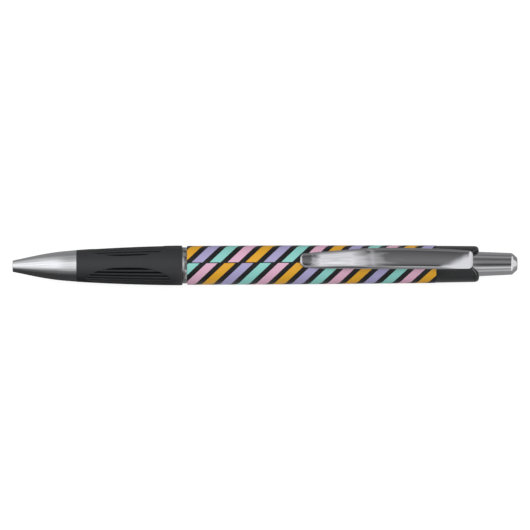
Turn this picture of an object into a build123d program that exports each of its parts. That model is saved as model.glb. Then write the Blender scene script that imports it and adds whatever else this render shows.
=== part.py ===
from build123d import *
import os
from math import cos, radians, sin

os.makedirs("parts", exist_ok=True)

# Click ballpoint pen with a pocket clip, in millimetres.
# It lies along X with its writing tip towards -X, its push button towards +X and its clip up (+Z).
# Distances along the pen are counted from the nose's tip, and radii from the pen's own axis.

# ---- driving dimensions ----

PEN_LENGTH = 142.0
GRIP_RADIUS = 5.6            # the thickest part, on which the pen lies

# outside stations, from the nose's tip
NOSE_END = 18.0
GRIP_END = 47.8
RING_END = 49.1
BARREL_TAPER_START = 79.5
BARREL_END = 119.1
CAP_END = 131.2

# outside radii
NOSE_TIP_RADIUS = 1.72
NOSE_MID_STATION, NOSE_MID_RADIUS = 8.84, 3.43
NOSE_END_RADIUS = 4.46
RING_RADIUS = 5.1
BARREL_RADIUS = 5.4
BARREL_END_RADIUS = 5.2
FILM_THICKNESS = 0.1
CAP_END_RADIUS = 5.05
BUTTON_RADIUS = 3.475
BUTTON_END_RADIUS = 3.05

# click mechanism
BUTTON_TRAVEL = 7.5
SPLINE_COUNT = 4
SPLINE_SPAN = 12.0           # degrees that each spline or rib takes up
GROOVE_SPAN = 31.0           # degrees that each guide groove takes up
GROOVE_PLAY = 1.5            # degrees between a spline and its groove at rest
SPLINE_RADIUS = 3.4
CAM_RADIUS = 2.6
TOOTH_COUNT = 8
TOOTH_SLOPE = 0.8            # rise of a crown tooth for each unit round the axis
PRESS_TURN = 20.0            # degrees that the cam turns while the button is pressed

# refill, of the large metal pattern that ISO 12757 describes
REFILL_LENGTH = 98.1
REFILL_RADIUS = 2.95
REFILL_SHOULDER = 18.0       # from its writing end to the step that the spring pushes on
TIP_SETBACK = 1.3            # how far the tip hides inside the nose at rest
BALL_RADIUS = 0.5

# return spring
SPRING_SEAT = 7.5
WIRE_RADIUS = 0.2
COIL_RADIUS = 2.22
COIL_COUNT = 9

# running clearance between moving round pieces
SLIDE_GAP = 0.075

NOSE_X = -PEN_LENGTH / 2
PEN_AXIS = Axis((NOSE_X, 0, GRIP_RADIUS), (1, 0, 0))


def side_plane(turn=90.0):
    """The plane of the pen's axis at an angle round it: x along the pen, y outwards."""
    out = Vector(0, cos(radians(turn)), sin(radians(turn)))
    return Plane(origin=PEN_AXIS.position, x_dir=(1, 0, 0), z_dir=Vector(1, 0, 0).cross(out))


def cross_plane(station):
    """The plane across the pen at a station: x towards +Y, y up, facing the button."""
    return Plane(origin=(NOSE_X + station, 0, GRIP_RADIUS), x_dir=(0, 1, 0), z_dir=(1, 0, 0))


def radial_plane(station, turn):
    """The plane that faces outwards at an angle: x towards the nose, y the way the cam turns."""
    out = (0, cos(radians(turn)), sin(radians(turn)))
    return Plane(origin=(NOSE_X + station, 0, GRIP_RADIUS), x_dir=(-1, 0, 0), z_dir=out)


def sector(inner, outer, middle, span):
    """An annular sector, centred on an angle."""
    start, end = middle - span / 2, middle + span / 2
    with BuildSketch(mode=Mode.PRIVATE) as shape:
        with BuildLine():
            near = CenterArc((0, 0), inner, start, span)
            far = CenterArc((0, 0), outer, start, span)
            Line(near @ 0, far @ 0)
            Line(near @ 1, far @ 1)
        make_face()
    return shape.sketch


# ---- nose cone: plated metal, screwed on the front barrel ----

NOSE_BORE = 1.3
NOSE_BORE_END = 3.8
NECK_BORE, NECK_BORE_START = 1.95, 4.5
SPRING_BORE, SPRING_BORE_END = 2.7, 12.2
BODY_BORE = 3.15
SPIGOT_START, SPIGOT_RADIUS = 13.5, 3.55
TIP_ROUNDING = 0.25

with BuildPart() as nose_cone:
    with BuildSketch(side_plane()):
        with BuildLine():
            ogive = ThreePointArc(
                (TIP_ROUNDING, NOSE_TIP_RADIUS),
                (NOSE_MID_STATION, NOSE_MID_RADIUS),
                (NOSE_END, NOSE_END_RADIUS),
            )
            Polyline(
                ogive @ 1,
                (NOSE_END, SPIGOT_RADIUS),
                (SPIGOT_START, SPIGOT_RADIUS),
                (SPIGOT_START, BODY_BORE),
                (SPRING_BORE_END, BODY_BORE),
                (SPRING_BORE_END, SPRING_BORE),
                (SPRING_SEAT, SPRING_BORE),
                (SPRING_SEAT, NECK_BORE),
                (NECK_BORE_START, NECK_BORE),
                (NOSE_BORE_END, NOSE_BORE),
                (0, NOSE_BORE),
                (0, NOSE_TIP_RADIUS - TIP_ROUNDING),
                ogive @ 0,
            )
        make_face()
    revolve(axis=PEN_AXIS)


# ---- front barrel: the plastic core under the grip, which joins the nose to the barrel ----

CORE_RADIUS = 3.85
CORE_BORE = 3.4
GUIDE_LAND_END = 20.0
RING_SEAT_RADIUS = 4.08
BARREL_BORE = 4.6
BARREL_SPIGOT_END = 57.0

with BuildPart() as front_barrel:
    with BuildSketch(side_plane()):
        with BuildLine():
            Polyline(
                (SPIGOT_START, SPIGOT_RADIUS),
                (NOSE_END, SPIGOT_RADIUS),
                (NOSE_END, CORE_RADIUS),
                (GRIP_END, CORE_RADIUS),
                (GRIP_END, RING_SEAT_RADIUS),
                (RING_END, RING_SEAT_RADIUS),
                (RING_END, BARREL_BORE),
                (BARREL_SPIGOT_END, BARREL_BORE),
                (BARREL_SPIGOT_END, CORE_BORE),
                (GUIDE_LAND_END, CORE_BORE),
                (GUIDE_LAND_END, REFILL_RADIUS + SLIDE_GAP),
                (SPIGOT_START, REFILL_RADIUS + SLIDE_GAP),
                close=True,
            )
        make_face()
    revolve(axis=PEN_AXIS)


# ---- grip sleeve: soft rubber with three grooved finger pads ----

GRIP_MID_STATION, GRIP_MID_RADIUS = 32.5, 5.22
GRIP_FULL_STATION = 46.0
GRIP_ROUNDING = 0.5
PAD_TURNS = (30.0, 150.0, 270.0)
PAD_HALF_LENGTH = 11.2
PAD_HALF_SPAN = 45.0
RIB_PITCH = 12.3             # degrees from one groove to the next
GROOVES_EACH_SIDE = 3
GROOVE_DEPTH = 0.4
GROOVE_WIDTH = 0.6
GRIP_TAPER = 0.04            # radius gained for each millimetre along the pads
CUTTER_HEIGHT = 1.0

with BuildPart() as grip_sleeve:
    with BuildSketch(side_plane()):
        with BuildLine():
            crown = ThreePointArc(
                (NOSE_END, NOSE_END_RADIUS),
                (GRIP_MID_STATION, GRIP_MID_RADIUS),
                (GRIP_FULL_STATION, GRIP_RADIUS),
            )
            edge = Line(crown @ 1, (GRIP_END - GRIP_ROUNDING, GRIP_RADIUS))
            corner = RadiusArc(edge @ 1, (GRIP_END, GRIP_RADIUS - GRIP_ROUNDING), GRIP_ROUNDING)
            Polyline(corner @ 1, (GRIP_END, CORE_RADIUS), (NOSE_END, CORE_RADIUS), crown @ 0)
        make_face()
    revolve(axis=PEN_AXIS)
    for pad_turn in PAD_TURNS:
        for step in range(-GROOVES_EACH_SIDE, GROOVES_EACH_SIDE + 1):
            offset = step * RIB_PITCH
            reach = PAD_HALF_LENGTH * (1 - (offset / PAD_HALF_SPAN) ** 2) ** 0.5
            front = (GRIP_MID_STATION - reach, GRIP_MID_RADIUS - GRIP_TAPER * reach)
            back = (GRIP_MID_STATION + reach, GRIP_MID_RADIUS + GRIP_TAPER * reach)
            with BuildSketch(side_plane(pad_turn + offset)):
                with BuildLine():
                    ThreePointArc(front, (GRIP_MID_STATION, GRIP_MID_RADIUS - GROOVE_DEPTH), back)
                    Polyline(
                        back,
                        (back[0], back[1] + CUTTER_HEIGHT),
                        (front[0], back[1] + CUTTER_HEIGHT),
                        front,
                    )
                make_face()
            extrude(amount=GROOVE_WIDTH / 2, both=True, mode=Mode.SUBTRACT)


# ---- trim ring: a plated metal band between the grip and the barrel ----

RING_BEVEL = 0.15

with BuildPart() as trim_ring:
    with BuildSketch(side_plane()):
        with BuildLine():
            Polyline(
                (GRIP_END, RING_SEAT_RADIUS),
                (RING_END, RING_SEAT_RADIUS),
                (RING_END, RING_RADIUS - RING_BEVEL),
                (RING_END - RING_BEVEL, RING_RADIUS),
                (GRIP_END + RING_BEVEL, RING_RADIUS),
                (GRIP_END, RING_RADIUS - RING_BEVEL),
                close=True,
            )
        make_face()
    revolve(axis=PEN_AXIS)


# ---- barrel: a moulded tube, straight and then slightly tapered ----

with BuildPart() as barrel:
    with BuildSketch(side_plane()):
        with BuildLine():
            Polyline(
                (RING_END, BARREL_BORE),
                (RING_END, BARREL_RADIUS),
                (BARREL_TAPER_START, BARREL_RADIUS),
                (BARREL_END, BARREL_END_RADIUS),
                (BARREL_END, BARREL_BORE),
                close=True,
            )
        make_face()
    revolve(axis=PEN_AXIS)


# ---- printed wrap: a striped film shrunk over the whole barrel ----

WRAP_START = 49.1

with BuildPart() as printed_wrap:
    with BuildSketch(side_plane()):
        with BuildLine():
            Polyline(
                (WRAP_START, BARREL_RADIUS),
                (WRAP_START, BARREL_RADIUS + FILM_THICKNESS),
                (BARREL_TAPER_START, BARREL_RADIUS + FILM_THICKNESS),
                (BARREL_END, BARREL_END_RADIUS + FILM_THICKNESS),
                (BARREL_END, BARREL_END_RADIUS),
                (BARREL_TAPER_START, BARREL_RADIUS),
                close=True,
            )
        make_face()
    revolve(axis=PEN_AXIS)


# ---- end cap: a moulded sleeve that holds the click mechanism and the clip's foot ----

CAP_SPIGOT_START = 111.0
CAP_BORE = 4.0
CAP_WALL_START = 129.3       # the rear wall that keeps the button in
CAP_ROUNDING = 1.0
NOTCH_DEPTH = 1.0
NOTCH_FLOOR_HALF, NOTCH_MOUTH_HALF = 2.2, 4.6
CLIP_SLOT_START, CLIP_SLOT_END = 127.1, 128.7
CLIP_SLOT_HALF_WIDTH = 1.6

with BuildPart() as end_cap:
    with BuildSketch(side_plane()):
        with BuildLine():
            Polyline(
                (CAP_SPIGOT_START, CAP_BORE),
                (CAP_SPIGOT_START, BARREL_BORE),
                (BARREL_END, BARREL_BORE),
                (BARREL_END, BARREL_END_RADIUS),
                (CAP_END, CAP_END_RADIUS),
                (CAP_END, BUTTON_RADIUS + SLIDE_GAP),
                (CAP_WALL_START, BUTTON_RADIUS + SLIDE_GAP),
                (CAP_WALL_START, CAP_BORE),
                close=True,
            )
        make_face()
    revolve(axis=PEN_AXIS)
    rim = end_cap.edges().filter_by(GeomType.CIRCLE).group_by(Axis.X)[-1].sort_by(SortBy.RADIUS)[-1]
    fillet(rim, radius=CAP_ROUNDING)
    # the end is notched on the clip's side, between two rounded lobes
    with BuildSketch(Plane(origin=(NOSE_X + CAP_END, 0, GRIP_RADIUS), x_dir=(0, 1, 0))):
        with BuildLine():
            Polyline(
                (-NOTCH_MOUTH_HALF, 0),
                (-NOTCH_FLOOR_HALF, NOTCH_DEPTH),
                (NOTCH_FLOOR_HALF, NOTCH_DEPTH),
                (NOTCH_MOUTH_HALF, 0),
                close=True,
            )
        make_face()
    extrude(amount=BARREL_RADIUS, mode=Mode.SUBTRACT)
    # the slot that takes the clip's foot
    with BuildSketch(Plane(origin=(NOSE_X, 0, GRIP_RADIUS), z_dir=(0, 0, 1))):
        with Locations(((CLIP_SLOT_START + CLIP_SLOT_END) / 2, 0)):
            Rectangle(CLIP_SLOT_END - CLIP_SLOT_START, 2 * CLIP_SLOT_HALF_WIDTH)
    extrude(amount=BARREL_RADIUS, mode=Mode.SUBTRACT)


# ---- guide sleeve: the cam housing, with four long grooves between stepped rails ----

HOUSING_RADIUS = 3.96
HOUSING_START, HOUSING_END = 97.0, 119.8
GROOVE_RADIUS = 3.5
RAIL_BORE = 2.75
RAIL_START = 103.5
RAIL_STEP = 1.1              # rise of each of the two ramps on a rail's front end
FIRST_SPLINE = 45.0          # degrees, the first spline's middle at rest
RAIL_SPAN = 360 / SPLINE_COUNT - GROOVE_SPAN
SPLINE_PITCH = 360 / SPLINE_COUNT
RAIL_HALF_WIDTH = 1.9

first_rail = FIRST_SPLINE - SPLINE_SPAN / 2 - GROOVE_PLAY + GROOVE_SPAN + RAIL_SPAN / 2
rail_turns = [first_rail + index * SPLINE_PITCH for index in range(SPLINE_COUNT)]

with BuildPart() as rails:
    with BuildSketch(cross_plane(RAIL_START)):
        for turn in rail_turns:
            add(sector(RAIL_BORE, GROOVE_RADIUS, turn, RAIL_SPAN))
    extrude(amount=HOUSING_END - RAIL_START)
    # two ramps on each rail's front end: one leads to the ledge, the other to the next groove
    with BuildSketch(*[radial_plane(RAIL_START, turn) for turn in rail_turns]):
        with BuildLine():
            Polyline(
                (0, -RAIL_HALF_WIDTH),
                (-RAIL_STEP, 0),
                (0, 0),
                (-RAIL_STEP, RAIL_HALF_WIDTH),
                (RAIL_STEP, RAIL_HALF_WIDTH),
                (RAIL_STEP, -RAIL_HALF_WIDTH),
                close=True,
            )
        make_face()
    extrude(amount=GROOVE_RADIUS, mode=Mode.SUBTRACT)

with BuildPart() as guide_sleeve:
    with BuildSketch(cross_plane(HOUSING_START)):
        Circle(HOUSING_RADIUS)
        Circle(GROOVE_RADIUS, mode=Mode.SUBTRACT)
    extrude(amount=HOUSING_END - HOUSING_START)
    add(rails.part)


# ---- index cam: turns a step at each click and pushes the refill ----

CAM_START = 100.9
SPLINE_START, SPLINE_END = 105.0, 108.5
CAM_VALLEY = 108.9
TOOTH_INNER_RADIUS = 1.6
PILOT_RADIUS, PILOT_END = 1.42, 113.0
BOSS_START, BOSS_RADIUS = TIP_SETBACK + REFILL_LENGTH, 2.2
TOOTH_HEIGHT = CAM_RADIUS * sin(radians(180 / TOOTH_COUNT)) * TOOTH_SLOPE
TOOTH_CUT = 1.3
SPLINE_RAMP = 0.41           # slant of a spline's rear end, as on the rails
SPLINE_HALF_WIDTH = 0.4
SPLINE_ROOT = 0.3            # how deep a spline is rooted in its core
PILOT_ROOT = 1.0             # how deep the pilot is rooted in the cam


def tooth_gaps(valley, first_turn, direction):
    """The V-shaped gaps of a crown of teeth, cut from the axis outwards."""
    turns = [first_turn + index * 360 / TOOTH_COUNT for index in range(TOOTH_COUNT)]
    with BuildPart(mode=Mode.PRIVATE) as gaps:
        with BuildSketch(*[radial_plane(valley, turn) for turn in turns]):
            with BuildLine():
                Polyline(
                    (0, 0),
                    (direction * TOOTH_CUT * TOOTH_SLOPE, TOOTH_CUT),
                    (direction * TOOTH_CUT * TOOTH_SLOPE, -TOOTH_CUT),
                    close=True,
                )
            make_face()
        extrude(amount=GROOVE_RADIUS)
    return gaps.part


cam_gaps = tooth_gaps(CAM_VALLEY, FIRST_SPLINE, -1)
spline_turns = [FIRST_SPLINE + index * SPLINE_PITCH for index in range(SPLINE_COUNT)]

with BuildPart() as index_cam:
    with BuildSketch(side_plane()):
        with BuildLine():
            Polyline(
                (BOSS_START, 0),
                (BOSS_START, BOSS_RADIUS),
                (CAM_START, BOSS_RADIUS),
                (CAM_START, CAM_RADIUS),
                (CAM_VALLEY + TOOTH_HEIGHT, CAM_RADIUS),
                (CAM_VALLEY + TOOTH_HEIGHT, 0),
                close=True,
            )
        make_face()
    revolve(axis=PEN_AXIS)
    add(cam_gaps, mode=Mode.SUBTRACT)
    # a smooth pilot in the middle of the crown keeps the cam and the plunger in line
    with BuildSketch(cross_plane(CAM_VALLEY - PILOT_ROOT)):
        Circle(TOOTH_INNER_RADIUS)
    extrude(amount=PILOT_END - CAM_VALLEY + PILOT_ROOT, mode=Mode.SUBTRACT)
    with BuildSketch(cross_plane(CAM_VALLEY - PILOT_ROOT)):
        Circle(PILOT_RADIUS)
    extrude(amount=PILOT_END - CAM_VALLEY + PILOT_ROOT)
    with BuildSketch(cross_plane(SPLINE_START)):
        for turn in spline_turns:
            add(sector(CAM_RADIUS - SPLINE_ROOT, SPLINE_RADIUS, turn, SPLINE_SPAN))
    extrude(amount=SPLINE_END - SPLINE_START)
    with BuildSketch(*[radial_plane(SPLINE_END, turn).offset(CAM_RADIUS) for turn in spline_turns]):
        with BuildLine():
            Polyline(
                (0, SPLINE_HALF_WIDTH),
                (SPLINE_RAMP, -SPLINE_HALF_WIDTH),
                (-SPLINE_RAMP, -SPLINE_HALF_WIDTH),
                (-SPLINE_RAMP, SPLINE_HALF_WIDTH),
                close=True,
            )
        make_face()
    extrude(amount=SPLINE_RADIUS - SPLINE_ROOT, mode=Mode.SUBTRACT)


# ---- plunger: the ribbed follower in the button, whose crown of teeth turns the cam ----

# the two crowns start part-way out of mesh, and the turn of the cam brings them together
MESH_GAP = 0.06
CROWN_SPREAD = 2 * CAM_RADIUS * TOOTH_SLOPE
REST_SPACING = CROWN_SPREAD * sin(radians((180 / TOOTH_COUNT + PRESS_TURN) / 2)) + MESH_GAP
PLUNGER_VALLEY = CAM_VALLEY + REST_SPACING
RIB_START, RIB_END = 111.2, 114.7
PLUNGER_END, PLUNGER_BORE_END = 137.0, 130.0
PLUNGER_CORE_RADIUS = 2.55
PLUNGER_BORE = 1.5
BUTTON_BORE = 2.57
HALF_TOOTH = 180 / TOOTH_COUNT

plunger_gaps = tooth_gaps(PLUNGER_VALLEY, FIRST_SPLINE + HALF_TOOTH + PRESS_TURN, 1)

with BuildPart() as plunger:
    with BuildSketch(side_plane()):
        with BuildLine():
            Polyline(
                (PLUNGER_VALLEY - TOOTH_HEIGHT, 0),
                (PLUNGER_VALLEY - TOOTH_HEIGHT, CAM_RADIUS),
                (RIB_END, CAM_RADIUS),
                (RIB_END, PLUNGER_CORE_RADIUS),
                (PLUNGER_END, PLUNGER_CORE_RADIUS),
                (PLUNGER_END, 0),
                close=True,
            )
        make_face()
    revolve(axis=PEN_AXIS)
    add(plunger_gaps, mode=Mode.SUBTRACT)
    with BuildSketch(cross_plane(CAM_VALLEY)):
        Circle(PLUNGER_BORE)
    extrude(amount=PLUNGER_BORE_END - CAM_VALLEY, mode=Mode.SUBTRACT)
    with BuildSketch(cross_plane(RIB_START)):
        for turn in spline_turns:
            add(sector(PLUNGER_CORE_RADIUS - SPLINE_ROOT, SPLINE_RADIUS, turn, SPLINE_SPAN))
    extrude(amount=RIB_END - RIB_START)


# ---- push button: a plated cap with a flange that the end cap's wall holds back ----

FLANGE_START, FLANGE_END = 127.6, 129.2
FLANGE_RADIUS = 3.9
BUTTON_SHOULDER = 140.6
BUTTON_BEND = (141.53, 2.45)   # the rounded shoulder's middle, as station and radius
BUTTON_FLAT_RADIUS = 1.55

with BuildPart() as push_button:
    with BuildSketch(side_plane()):
        with BuildLine():
            Polyline(
                (FLANGE_START, BUTTON_BORE),
                (FLANGE_START, FLANGE_RADIUS),
                (FLANGE_END, FLANGE_RADIUS),
                (FLANGE_END, BUTTON_RADIUS),
                (CAP_END, BUTTON_RADIUS),
                (BUTTON_SHOULDER, BUTTON_END_RADIUS),
            )
            ThreePointArc(
                (BUTTON_SHOULDER, BUTTON_END_RADIUS),
                BUTTON_BEND,
                (PEN_LENGTH, BUTTON_FLAT_RADIUS),
            )
            Polyline(
                (PEN_LENGTH, BUTTON_FLAT_RADIUS),
                (PEN_LENGTH, 0),
                (PLUNGER_END, 0),
                (PLUNGER_END, BUTTON_BORE),
                (FLANGE_START, BUTTON_BORE),
            )
        make_face()
    revolve(axis=PEN_AXIS)


# ---- clip: one pressed strip of spring steel, with its foot in the end cap's slot ----

CLIP_THICKNESS = 0.6
CLIP_TIP, CLIP_ROOT = 80.9, 129.4
CLIP_HALF_WIDTH, CLIP_TIP_HALF_WIDTH = 3.0, 1.95
CLIP_WIDE_FROM, CLIP_WIDE_TO = 102.0, 124.0
CLIP_ROOT_HALF_WIDTH = 2.55
CLIP_TIP_ROUNDING = 1.5
FOOT_STATION, FOOT_HEIGHT = 127.8, 4.65    # the foot's rounded end, on which the clip rocks
FOOT_THICKNESS = 0.8
FOOT_HALF_WIDTH = 1.3
CLIP_UNDERSIDE = (
    (CLIP_TIP, 6.0),
    (84.2, 5.6),
    (88.0, 6.35),
    (96.5, 7.75),
    (104.5, 8.0),
    (109.5, 7.95),
    (115.0, 7.5),
    (121.7, 6.3),
    (126.0, 5.47),
    (CLIP_ROOT, 5.25),
)

with BuildPart() as clip:
    with BuildSketch(side_plane()):
        with BuildLine():
            below = Spline(*CLIP_UNDERSIDE)
            above = Spline(*[(station, height + CLIP_THICKNESS) for station, height in CLIP_UNDERSIDE])
            Line(below @ 0, above @ 0)
            Line(below @ 1, above @ 1)
        make_face()
    extrude(amount=CLIP_HALF_WIDTH, both=True)
    with BuildSketch(Plane(origin=PEN_AXIS.position, z_dir=(0, 0, 1))):
        with BuildLine():
            Polyline(
                (CLIP_TIP, CLIP_TIP_HALF_WIDTH),
                (CLIP_WIDE_FROM, CLIP_HALF_WIDTH),
                (CLIP_WIDE_TO, CLIP_HALF_WIDTH),
                (CLIP_ROOT, CLIP_ROOT_HALF_WIDTH),
                (CLIP_ROOT, -CLIP_ROOT_HALF_WIDTH),
                (CLIP_WIDE_TO, -CLIP_HALF_WIDTH),
                (CLIP_WIDE_FROM, -CLIP_HALF_WIDTH),
                (CLIP_TIP, -CLIP_TIP_HALF_WIDTH),
                close=True,
            )
        make_face()
        fillet(vertices().group_by(Axis.X)[0], radius=CLIP_TIP_ROUNDING)
    extrude(amount=2 * GRIP_RADIUS, mode=Mode.INTERSECT)
    with BuildSketch(Plane(origin=(NOSE_X, 0, GRIP_RADIUS + FOOT_HEIGHT), z_dir=(0, 0, 1))):
        with Locations((FOOT_STATION, 0)):
            Rectangle(FOOT_THICKNESS, 2 * FOOT_HALF_WIDTH)
    extrude(until=Until.NEXT)
    with BuildSketch(side_plane()):
        with Locations((FOOT_STATION, FOOT_HEIGHT)):
            Circle(FOOT_THICKNESS / 2)
    extrude(amount=FOOT_HALF_WIDTH, both=True)


# ---- refill: a metal tube of ink with a ball-point tip, a holder and a rear plug ----

TIP_RIM_RADIUS = 0.62         # where the tip's edge is spun over the ball
TIP_CONE_LENGTH, TIP_RADIUS = 2.8, 1.15
HOLDER_START, HOLDER_RADIUS = 10.0, 1.75
SHANK_RADIUS, SHANK_END = 0.8, 14.0
INK_CHANNEL = 0.4
HOLDER_PLUG_END = 23.0
TUBE_BORE = 2.6
INK_END, FOLLOWER_END = 76.0, 81.0
PLUG_START = 94.5
PLUG_FLANGE = 0.8
VENT_RADIUS = 0.5
RIM_SETBACK = 0.42           # how far the ball stands out of the tip
BALL_PLAY = 0.01
HOLDER_BEVEL, HOLDER_BEVEL_LENGTH = 0.3, 0.6

with BuildPart() as refill_tip:
    with BuildSketch(side_plane()):
        with BuildLine():
            Polyline(
                (TIP_SETBACK + RIM_SETBACK, 0),
                (TIP_SETBACK + RIM_SETBACK, TIP_RIM_RADIUS),
                (TIP_SETBACK + TIP_CONE_LENGTH, TIP_RADIUS),
                (TIP_SETBACK + HOLDER_START, TIP_RADIUS),
                (TIP_SETBACK + HOLDER_START, SHANK_RADIUS),
                (TIP_SETBACK + SHANK_END, SHANK_RADIUS),
                (TIP_SETBACK + SHANK_END, 0),
                close=True,
            )
        make_face()
    revolve(axis=PEN_AXIS)
    with BuildSketch(cross_plane(TIP_SETBACK)):
        Circle(INK_CHANNEL)
    extrude(amount=SHANK_END, mode=Mode.SUBTRACT)
    with Locations((NOSE_X + TIP_SETBACK + BALL_RADIUS, 0, GRIP_RADIUS)):
        Sphere(BALL_RADIUS + BALL_PLAY, mode=Mode.SUBTRACT)

with BuildPart() as writing_ball:
    with Locations((NOSE_X + TIP_SETBACK + BALL_RADIUS, 0, GRIP_RADIUS)):
        Sphere(BALL_RADIUS)

with BuildPart() as tip_holder:
    with BuildSketch(side_plane()):
        with BuildLine():
            Polyline(
                (TIP_SETBACK + HOLDER_START, SHANK_RADIUS),
                (TIP_SETBACK + HOLDER_START, HOLDER_RADIUS - HOLDER_BEVEL),
                (TIP_SETBACK + HOLDER_START + HOLDER_BEVEL_LENGTH, HOLDER_RADIUS),
                (TIP_SETBACK + REFILL_SHOULDER, HOLDER_RADIUS),
                (TIP_SETBACK + REFILL_SHOULDER, TUBE_BORE),
                (TIP_SETBACK + HOLDER_PLUG_END, TUBE_BORE),
                (TIP_SETBACK + HOLDER_PLUG_END, INK_CHANNEL),
                (TIP_SETBACK + SHANK_END, INK_CHANNEL),
                (TIP_SETBACK + SHANK_END, SHANK_RADIUS),
                close=True,
            )
        make_face()
    revolve(axis=PEN_AXIS)

with BuildPart() as refill_tube:
    with BuildSketch(side_plane()):
        with BuildLine():
            Polyline(
                (TIP_SETBACK + REFILL_SHOULDER, TUBE_BORE),
                (TIP_SETBACK + REFILL_SHOULDER, REFILL_RADIUS),
                (TIP_SETBACK + REFILL_LENGTH - PLUG_FLANGE, REFILL_RADIUS),
                (TIP_SETBACK + REFILL_LENGTH - PLUG_FLANGE, TUBE_BORE),
                close=True,
            )
        make_face()
    revolve(axis=PEN_AXIS)

with BuildPart() as ink_column:
    with BuildSketch(cross_plane(TIP_SETBACK + HOLDER_PLUG_END)):
        Circle(TUBE_BORE)
    extrude(amount=INK_END - HOLDER_PLUG_END)

with BuildPart() as ink_follower:
    with BuildSketch(cross_plane(TIP_SETBACK + INK_END)):
        Circle(TUBE_BORE)
    extrude(amount=FOLLOWER_END - INK_END)

with BuildPart() as refill_plug:
    with BuildSketch(side_plane()):
        with BuildLine():
            Polyline(
                (TIP_SETBACK + PLUG_START, VENT_RADIUS),
                (TIP_SETBACK + PLUG_START, TUBE_BORE),
                (TIP_SETBACK + REFILL_LENGTH - PLUG_FLANGE, TUBE_BORE),
                (TIP_SETBACK + REFILL_LENGTH - PLUG_FLANGE, REFILL_RADIUS),
                (TIP_SETBACK + REFILL_LENGTH, REFILL_RADIUS),
                (TIP_SETBACK + REFILL_LENGTH, VENT_RADIUS),
                close=True,
            )
        make_face()
    revolve(axis=PEN_AXIS)


# ---- return spring: between the nose's seat and the refill's shoulder ----

SPRING_LENGTH = TIP_SETBACK + REFILL_SHOULDER - SPRING_SEAT - 2 * WIRE_RADIUS

with BuildPart() as return_spring:
    with BuildLine():
        coil = Helix(
            pitch=SPRING_LENGTH / COIL_COUNT,
            height=SPRING_LENGTH,
            radius=COIL_RADIUS,
            center=(NOSE_X + SPRING_SEAT + WIRE_RADIUS, 0, GRIP_RADIUS),
            direction=(1, 0, 0),
        )
    with BuildSketch(Plane(origin=coil @ 0, z_dir=coil % 0)):
        Circle(WIRE_RADIUS)
    sweep(is_frenet=True)


pieces = {
    "nose_cone": nose_cone,
    "front_barrel": front_barrel,
    "grip_sleeve": grip_sleeve,
    "trim_ring": trim_ring,
    "barrel": barrel,
    "printed_wrap": printed_wrap,
    "end_cap": end_cap,
    "guide_sleeve": guide_sleeve,
    "index_cam": index_cam,
    "plunger": plunger,
    "push_button": push_button,
    "clip": clip,
    "refill_tip": refill_tip,
    "writing_ball": writing_ball,
    "tip_holder": tip_holder,
    "refill_tube": refill_tube,
    "ink_column": ink_column,
    "ink_follower": ink_follower,
    "refill_plug": refill_plug,
    "return_spring": return_spring,
}
for name, piece in pieces.items():
    piece.part.label = name
    export_step(piece.part, f"parts/{name}.step")
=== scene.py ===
from math import atan2, cos, degrees, pi, radians, sin, sqrt

import bmesh
import bpy
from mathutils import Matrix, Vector


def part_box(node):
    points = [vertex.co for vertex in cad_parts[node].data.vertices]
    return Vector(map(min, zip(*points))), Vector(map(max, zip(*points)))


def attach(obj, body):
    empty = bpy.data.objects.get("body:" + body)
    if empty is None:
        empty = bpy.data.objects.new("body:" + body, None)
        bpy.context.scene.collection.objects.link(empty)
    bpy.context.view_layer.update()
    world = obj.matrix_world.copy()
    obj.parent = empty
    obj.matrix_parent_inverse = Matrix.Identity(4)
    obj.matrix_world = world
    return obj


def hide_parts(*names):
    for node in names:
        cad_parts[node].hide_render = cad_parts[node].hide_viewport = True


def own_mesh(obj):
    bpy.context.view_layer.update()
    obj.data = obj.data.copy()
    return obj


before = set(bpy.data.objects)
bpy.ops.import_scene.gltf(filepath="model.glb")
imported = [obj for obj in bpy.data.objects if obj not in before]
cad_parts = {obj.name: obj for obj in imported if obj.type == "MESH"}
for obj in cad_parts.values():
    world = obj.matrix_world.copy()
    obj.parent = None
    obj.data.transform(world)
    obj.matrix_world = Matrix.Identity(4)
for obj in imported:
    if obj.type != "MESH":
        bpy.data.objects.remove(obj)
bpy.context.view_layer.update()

# ---- nose cone ----
# A turned brass cone with a satin chrome plating, screwed on the front of the pen. Its outline is
# a slender ogive, and its stepped bore holds the return spring and lets the refill's tip out.

# The pen lies along X with its writing tip at -X and its clip up. Its pieces are set out in
# millimetres, as a distance from the nose's tip and a radius from the pen's axis.
MM = 0.001
NOSE_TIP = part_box("nose_cone")[0][0]
AXIS_HEIGHT = (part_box("barrel")[0][2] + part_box("barrel")[1][2]) / 2


def station(distance):
    """The X of a place along the pen, from its distance in millimetres from the nose's tip."""
    return NOSE_TIP + distance * MM


def span(node):
    """Where a CAD piece starts and ends along the pen, in millimetres from the nose's tip."""
    low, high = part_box(node)
    return (low[0] - NOSE_TIP) / MM, (high[0] - NOSE_TIP) / MM


def radius(node):
    """A round CAD piece's largest radius, in millimetres."""
    low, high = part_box(node)
    return (high[1] - low[1]) / 2 / MM


NOSE_END = span("nose_cone")[1]
NOSE_MOUTH, NOSE_FACE, NOSE_RIM = (0, 1.3), (0, 1.6), (0.3, 1.66)
NOSE_BORE = ((3.8, 1.3), (4.5, 1.95), (7.5, 1.95), (7.5, 2.7), (12.2, 2.7), (12.2, 3.15), (13.5, 3.15),
             (13.5, 3.55), (NOSE_END, 3.55))
NOSE_OGIVE = (NOSE_RIM, (2.65, 2.15), (4.9, 2.63), (8.84, 3.4), (13, 4.01), (NOSE_END, 4.46))
NOSE_STEPS = 30
RIM_ROUND, MOUTH_ROUND = 0.2, 0.1
TURNING_MARK = 0.12         # millimetres between the plating's faint turning lines


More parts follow.
